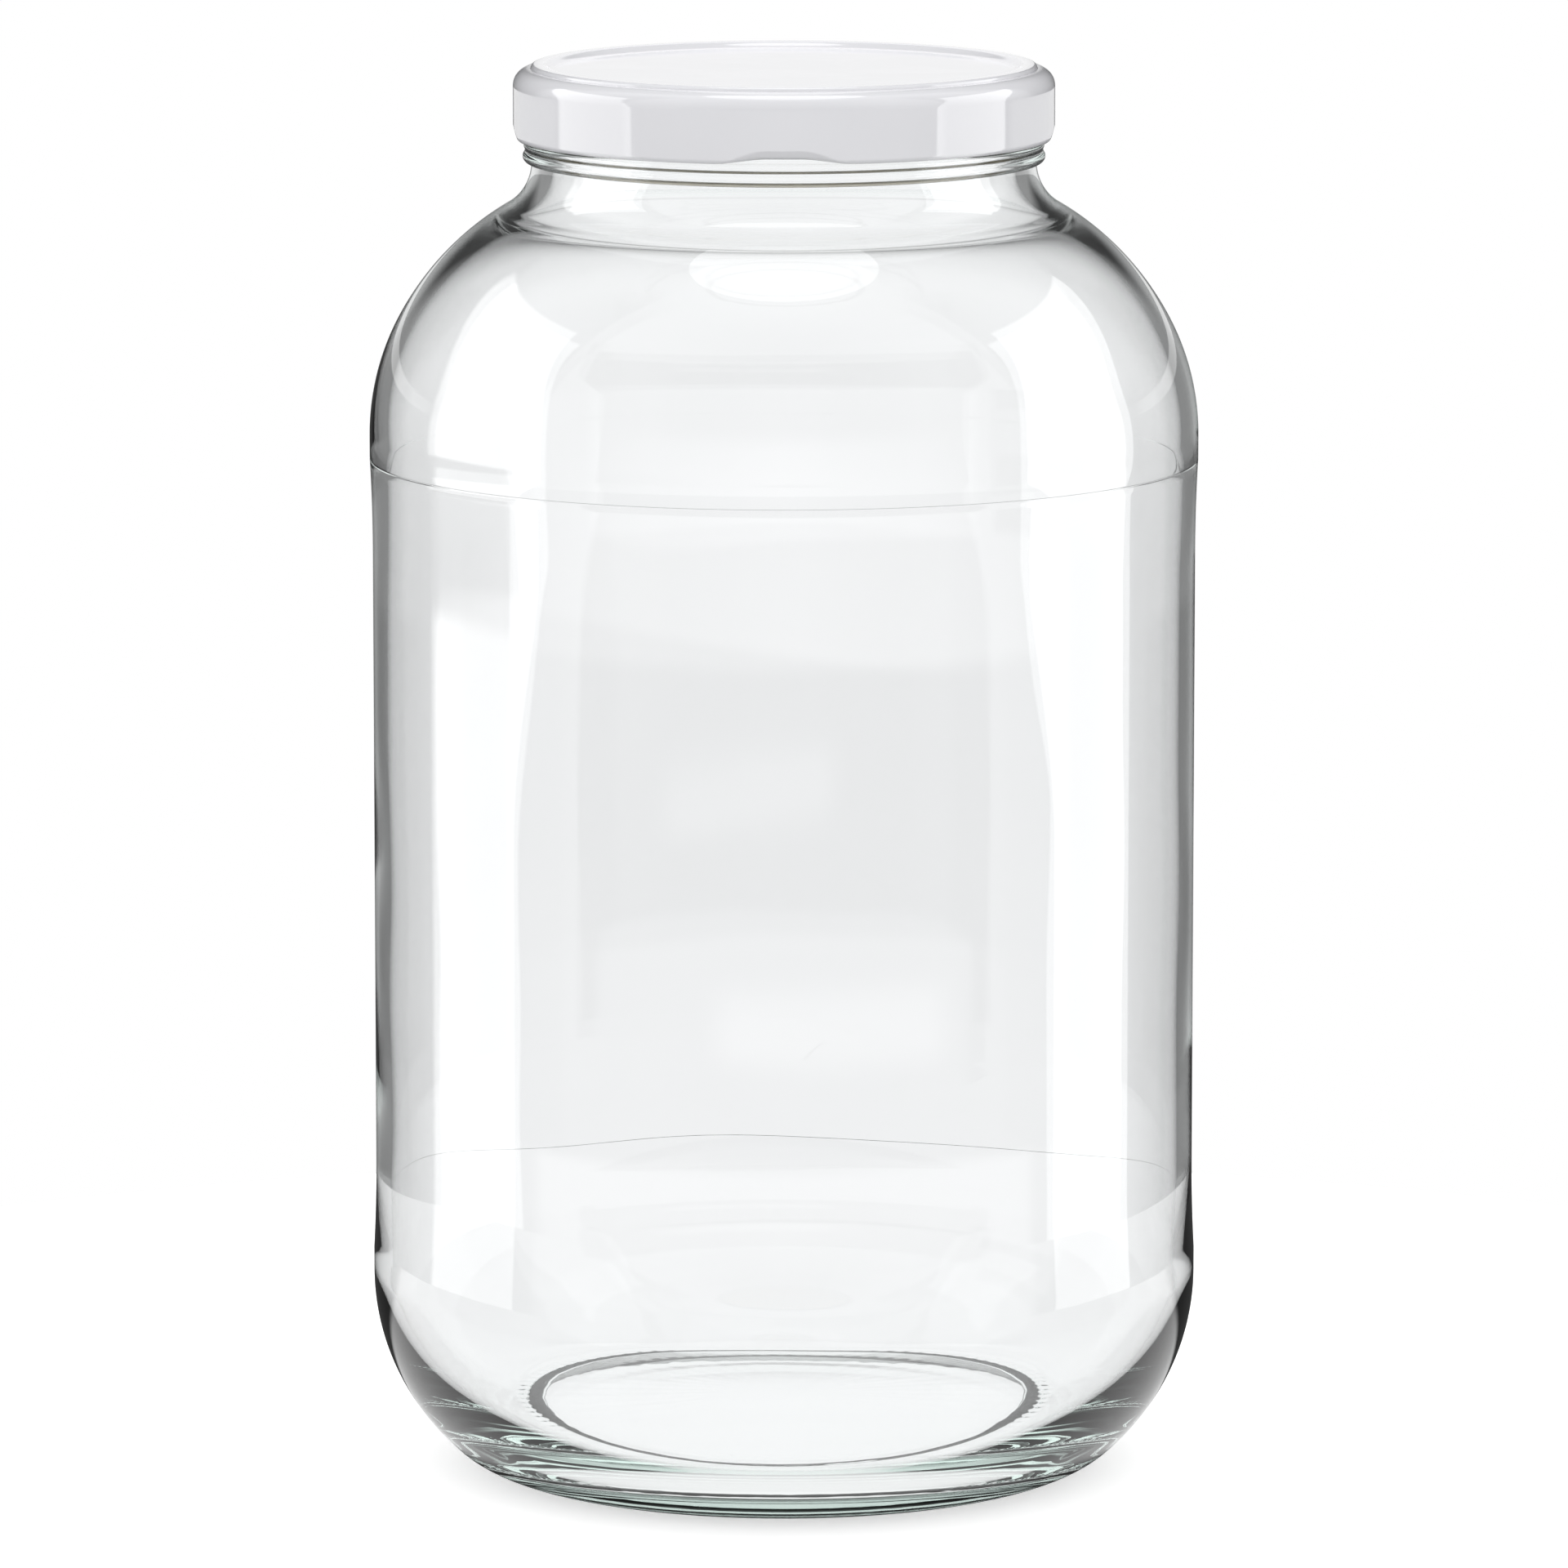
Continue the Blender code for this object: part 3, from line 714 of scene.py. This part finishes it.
# Limits of both softboxes: each step is a pair of places and the pair of results between them
SOFTBOX_INNER = (((0.09, 0.16), (71.5, 62.0)), ((0.2, 0.47), (0.0, 11.0)))
SOFTBOX_OUTER = (((0.25, 0.46), (0.0, 20.0)),)
SOFTBOX_TOP = (((70.0, 125.0), (0.475, 0.445)),)
# Outer end of each softbox and how soft it is, then how soft the other sides are
LEFT_SOFTBOX = (103.3, 1.6)
RIGHT_SOFTBOX = (100.2, 0.4)
SOFTBOX_INNER_SOFT = 0.5
SOFTBOX_TOP_SOFT = 0.005
SOFTBOX_LEVEL = 2.1
# The softboxes are fainter in light that has crossed this many surfaces of the glass
FAR_WALL_SURFACES = 4
SOFTBOX_FAR_SHARE = 0.35
# Patches of the tent have limits and softness, first those of the azimuth, then of the height
SOFTBOX_GAP = ((-106.0, -72.4, 0.6), (0.134, 0.175, 0.003))
SOFTBOX_GAP_DEPTH = 0.8
FRONT_OPENING = ((-16.0, 40.0, 6.0), (0.05, 0.066, 0.005))
FRONT_OPENING_LEVEL = 0.55
LID_LIGHT = ((104.0, 160.0, 4.0), (0.2225, 0.2385, 0.0015))
LID_LIGHT_LEVEL = 0.8
# The dark strips that draw the jar's outline
DARK_RIM = (121.0, 167.0, 3.0)
DARK_RIM_SHARE = 0.1
# Rows of the tent from below: the height where a row is reached, then azimuths and levels
LOW_ROW = ((0, 0.08), (45, 0.1), (56, 0.15), (58, 0.05), (66, 0.05), (106, 0.1), (108, 0.02),
           (123, 0.02), (127, 0.25), (148, 0.3), (151, 0.6), (166, 1.0), (180, 1.0))
TENT_ROWS = (
    (0.0255, ((0, 0.9), (58, 0.9), (64, 0.8), (66, 0.3), (106, 0.1), (108, 0.03), (123, 0.03),
              (127, 0.3), (148, 0.35), (151, 0.5), (166, 0.9), (180, 0.95))),
    (0.0295, LOW_ROW),
    (0.129, LOW_ROW),
    (0.134, ((0, 1.1), (45, 0.9), (56, 0.7), (65, 0.5), (67, 0.1), (106, 0.1), (110, 0.1),
             (123, 0.2), (127, 0.3), (148, 0.35), (151, 0.6), (166, 1.0), (180, 1.0))),
    (0.235, ((0, 0.9), (45, 0.7), (65, 0.6), (67, 0.1), (99, 0.2), (104, 0.35), (119, 0.35),
             (122, 0.15), (127, 0.3), (148, 0.35), (151, 0.6), (166, 0.9), (180, 1.0))),
    (0.29, ((0, 0.35), (20, 0.4), (45, 0.6), (66, 0.65), (67, 0.1), (104, 0.7), (115, 0.45),
            (123, 0.15), (128, 0.3), (143, 0.4), (150, 0.06), (165, 0.05), (170, 0.9), (180, 0.9))),
    (0.6, ((0, 0.35), (20, 0.4), (45, 0.6), (66, 0.65), (67, 0.1), (104, 0.7), (115, 0.45),
           (123, 0.12), (127, 0.02), (168, 0.02), (171, 0.9), (180, 0.9))),
    (1.0, ((0, 0.75), (66, 0.75), (100, 0.7), (120, 0.4), (130, 0.1), (180, 0.05))),
)
# A colour ramp holds no value over 1, so it holds the levels divided by this
RAMP_SCALE = 2.0
# Level for rays trapped in the glass, by azimuth and height, and for rays that pass straight on
TRAPPED_BOUNCES = 8
TRAPPED_LEVEL = ((128.0, 152.0, 0.02, 1.35), (0.19, 0.23, 1.0, 0.05))
THROUGH_LEVEL = ((0.235, 0.29, 1.0, 0.0), (0.8, 1.1, 0.0, 0.9))

# World: the overhead light by elevation, its level in outer reflections, and the soft light
OVERHEAD = (60.0, 68.0)
OVERHEAD_LEVELS = (0.9, 2.4)
SOFT_LIGHT = (-10.0, 40.0, 0.66, 1.22)

# Bounces enough for light that the thick heel passes on inside
GLASS_BOUNCES = 16
ALL_BOUNCES = 28


def add_camera():
    """The photograph's viewpoint: in front, a little above the lid."""
    data = bpy.data.cameras.new("camera")
    data.lens = CAMERA_LENS
    data.sensor_width = SENSOR_WIDTH
    data.clip_end = CAMERA_REACH
    camera = bpy.data.objects.new("camera", data)
    camera.location = (0.0, -CAMERA_DISTANCE, CAMERA_HEIGHT)
    fall = math.atan2(CAMERA_HEIGHT - CAMERA_AIM_HEIGHT, CAMERA_DISTANCE)
    camera.rotation_euler = (math.pi / 2 - fall, 0.0, 0.0)
    bpy.context.scene.collection.objects.link(camera)
    bpy.context.scene.camera = camera


def band(nodes, value, low, high, soft):
    """1 between two limits and 0 outside them."""
    return nodes.product(nodes.smooth(value, low - soft, low + soft),
                         nodes.smooth(value, high - soft, high + soft, 1.0, 0.0))


def patch(nodes, azimuth, height, limits):
    """1 inside a patch of the tent, given by limits of azimuth and of height."""
    across, upward = limits
    return nodes.product(band(nodes, azimuth, *across), band(nodes, height, *upward))


def azimuth_of(nodes, place):
    """Azimuth of a point about the jar's axis, in degrees from the front."""
    toward = nodes.product(place["Y"], -1.0)
    return nodes.product(nodes.math("ARCTAN2", place["X"], toward), 180 / math.pi)


def ray_kinds(nodes):
    """The ray's facts, and whether it bounced, bounced on the outside only, and is trapped."""
    rays = nodes.add("LightPath").outputs
    bounced = nodes.math("GREATER_THAN", rays["Glossy Depth"], 0.5)
    outside = nodes.product(bounced, nodes.math("LESS_THAN", rays["Transmission Depth"], 0.5))
    trapped = nodes.math("GREATER_THAN", rays["Glossy Depth"], TRAPPED_BOUNCES - 0.5)
    return rays, bounced, outside, trapped


def add_floor():
    """A pale round table top that keeps the jar's shadow and looks white through the glass, with
    painted shadow under the jar and along its standing ring.
    """
    sides = [2 * math.pi * i / FLOOR_SIDES for i in range(FLOOR_SIDES)]
    rim = [(FLOOR_RADIUS * math.cos(a), FLOOR_RADIUS * math.sin(a), 0.0) for a in sides]
    mesh = bpy.data.meshes.new("table_top")
    mesh.from_pydata(rim, [], [tuple(range(FLOOR_SIDES))])
    made, nodes, shader, output = new_material("pale_table_top")
    place = nodes.add("TexCoord").outputs["Object"]
    nodes.put(shader, "Base Color", nodes.mix(nodes.noise(place, *FLOOR_CLOUD), *FLOOR_COLOURS))
    nodes.put(shader, "Roughness", FLOOR_ROUGHNESS)
    nodes.put(shader, "Specular IOR Level", 0.0)
    rays, bounced, outside, trapped = ray_kinds(nodes)
    nodes.put(shader, "Emission Color", WHITE)
    nodes.put(shader, "Emission Strength", nodes.product(rays["Is Camera Ray"], FLOOR_GLOW))
    point = nodes.add("SeparateXYZ", Vector=place).outputs
    around = nodes.math("ABSOLUTE", azimuth_of(nodes, point))
    away = nodes.add("VectorMath", {"operation": "LENGTH"}, **{"0": place}).outputs["Value"]
    # Painted contact shadow: a ragged dark ring on the table where the standing ring touches it,
    # seen in light that has bounced off the glass
    wobble = nodes.math("SUBTRACT", nodes.noise(place, *CONTACT_NOISE), 0.5)
    ragged = nodes.math("ADD", away, nodes.product(wobble, CONTACT_SHADOW_RAGGED))
    contact_shadow = band(nodes, ragged, *CONTACT_SHADOW_RING)
    # Painted shadow under the jar's overhang, for light reflected off the glass's outside; the
    # tent's dark strips go on across the table
    dark = nodes.math("MAXIMUM", band(nodes, around, *DARK_RIM),
                      nodes.smooth(away, *SHADOW_UNDER_JAR, 1.0, 0.0))
    shade = nodes.math("MAXIMUM", nodes.product(outside, dark), trapped)
    shade = nodes.math("MAXIMUM", shade, nodes.product(contact_shadow, bounced))
    white = nodes.add("Emission", Color=WHITE, Strength=nodes.blend(shade, 1.0, FLOOR_SHADE))
    seen = nodes.math("MAXIMUM", rays["Is Transmission Ray"], rays["Is Glossy Ray"])
    mixed = nodes.add("MixShader", Fac=seen)
    nodes.tree.links.new(shader.outputs[0], mixed.inputs[1])
    nodes.tree.links.new(white.outputs[0], mixed.inputs[2])
    nodes.tree.links.new(mixed.outputs[0], output.inputs["Surface"])
    floor = new_object(mesh, made)
    floor.location = (0.0, 0.0, -FLOOR_DROP)


def limit(nodes, value, steps):
    """A limit that changes smoothly with a value, by the sum of its steps."""
    total = 0.0
    for places, results in steps:
        total = nodes.math("ADD", total, nodes.smooth(value, *places, *results))
    return total


def softbox_shape(nodes, azimuth, height, end, soft):
    """1 inside a softbox's slanted outline and 0 outside it."""
    inner = nodes.math("SUBTRACT", azimuth, limit(nodes, height, SOFTBOX_INNER))
    outer = nodes.math("SUBTRACT", azimuth, limit(nodes, height, SOFTBOX_OUTER))
    above = nodes.math("SUBTRACT", height, limit(nodes, azimuth, SOFTBOX_TOP))
    return nodes.product(nodes.smooth(inner, -SOFTBOX_INNER_SOFT, SOFTBOX_INNER_SOFT),
                         nodes.smooth(outer, end - soft, end + soft, 1.0, 0.0),
                         nodes.smooth(above, -SOFTBOX_TOP_SOFT, SOFTBOX_TOP_SOFT, 1.0, 0.0))


def softboxes(nodes, azimuth, height, rays):
    """Brightness of the two softboxes, the left one with a dark gap across it."""
    left = softbox_shape(nodes, nodes.product(azimuth, -1.0), height, *LEFT_SOFTBOX)
    right = softbox_shape(nodes, azimuth, height, *RIGHT_SOFTBOX)
    gap = nodes.product(patch(nodes, azimuth, height, SOFTBOX_GAP), SOFTBOX_GAP_DEPTH)
    left = nodes.product(left, nodes.math("SUBTRACT", 1.0, gap))
    far_wall = nodes.math("GREATER_THAN", rays["Transmission Depth"], FAR_WALL_SURFACES - 0.5)
    return nodes.product(nodes.math("ADD", left, right), SOFTBOX_LEVEL,
                         nodes.blend(far_wall, 1.0, SOFTBOX_FAR_SHARE))


def tent_rows(nodes, around, height):
    """Brightness of the tent's cloth at an azimuth from the front and a height."""
    share = nodes.math("DIVIDE", around, 180.0)
    level = None
    for at, (top, profile) in enumerate(TENT_ROWS):
        ramp = nodes.add("ValToRGB", Fac=share)
        elements = ramp.color_ramp.elements
        for _ in range(len(profile) - 2):
            elements.new(0.5)
        for element, (degrees, value) in zip(elements, profile):
            grey = value / RAMP_SCALE
            element.position = degrees / 180
            element.color = (grey, grey, grey, 1)
        here = nodes.product(ramp.outputs["Color"], RAMP_SCALE)
        if level is None:
            level = here
        else:
            level = nodes.blend(nodes.smooth(height, TENT_ROWS[at - 1][0], top), level, here)
    return level


def tent_level(nodes, place):
    """Brightness of the tent for each kind of ray."""
    height = place["Z"]
    azimuth = azimuth_of(nodes, place)
    around = nodes.math("ABSOLUTE", azimuth)
    rays, bounced, outside, trapped = ray_kinds(nodes)
    pattern = nodes.math("ADD", tent_rows(nodes, around, height),
                         softboxes(nodes, azimuth, height, rays))
    opening = nodes.product(patch(nodes, azimuth, height, FRONT_OPENING), FRONT_OPENING_LEVEL)
    pattern = nodes.math("ADD", pattern, opening)
    rim = nodes.product(outside, band(nodes, around, *DARK_RIM))
    pattern = nodes.product(pattern, nodes.blend(rim, 1.0, DARK_RIM_SHARE))
    beside_lid = nodes.product(outside, patch(nodes, around, height, LID_LIGHT))
    pattern = nodes.blend(beside_lid, pattern, LID_LIGHT_LEVEL)
    caught = nodes.product(nodes.smooth(around, *TRAPPED_LEVEL[0]),
                           nodes.smooth(height, *TRAPPED_LEVEL[1]))
    pattern = nodes.blend(trapped, pattern, caught)
    through = nodes.math("ADD", nodes.smooth(height, *THROUGH_LEVEL[0]),
                         nodes.smooth(height, *THROUGH_LEVEL[1]))
    return nodes.blend(bounced, through, pattern)


def add_tent():
    """A round light tent: white behind the jar, black strips beside that, softboxes, grey front."""
    sides = [2 * math.pi * i / TENT_SIDES for i in range(TENT_SIDES)]
    verts = [(TENT_RADIUS * math.cos(a), TENT_RADIUS * math.sin(a), z)
             for z in (0.0, TENT_HEIGHT) for a in sides]
    faces = [(i, (i + 1) % TENT_SIDES, (i + 1) % TENT_SIDES + TENT_SIDES, i + TENT_SIDES)
             for i in range(TENT_SIDES)]
    mesh = bpy.data.meshes.new("light_tent")
    mesh.from_pydata(verts, [], faces)
    made, nodes, shader, output = new_material("light_tent")
    made.node_tree.nodes.remove(shader)
    place = nodes.add("SeparateXYZ", Vector=nodes.add("TexCoord").outputs["Object"]).outputs
    glow = nodes.add("Emission", Color=WHITE, Strength=tent_level(nodes, place))
    nodes.tree.links.new(glow.outputs[0], output.inputs["Surface"])
    tent = new_object(mesh, made)
    tent.visible_camera = False
    tent.visible_diffuse = False
    tent.visible_shadow = False
    tent.visible_volume_scatter = False


def build_world():
    """White to the camera, soft light from above on the lid and the table."""
    world = bpy.data.worlds.new("studio")
    bpy.context.scene.world = world
    world.use_nodes = True
    world.node_tree.nodes.clear()
    nodes = Nodes(world.node_tree)
    direction = nodes.add("TexCoord").outputs["Generated"]
    up = nodes.add("SeparateXYZ", Vector=direction).outputs["Z"]
    elevation = nodes.product(nodes.math("ARCSINE", up), 180 / math.pi)
    rays, _, outside, trapped = ray_kinds(nodes)
    level = nodes.smooth(elevation, *OVERHEAD, 0.0, nodes.blend(outside, *OVERHEAD_LEVELS))
    level = nodes.blend(trapped, level, 0.0)
    level = nodes.blend(rays["Is Diffuse Ray"], level, nodes.smooth(elevation, *SOFT_LIGHT))
    level = nodes.blend(rays["Is Camera Ray"], level, 1.0)
    background = nodes.add("Background", Color=WHITE, Strength=level)
    output = nodes.add("OutputWorld")
    nodes.tree.links.new(background.outputs[0], output.inputs["Surface"])


def main():
    """Builds the jar and its studio."""
    build_jar()
    build_lid()
    build_sealing_ring()
    add_camera()
    add_floor()
    add_tent()
    build_world()
    scene = bpy.context.scene
    scene.view_settings.view_transform = "Standard"
    scene.cycles.glossy_bounces = GLASS_BOUNCES
    scene.cycles.transmission_bounces = GLASS_BOUNCES
    scene.cycles.max_bounces = ALL_BOUNCES


main()
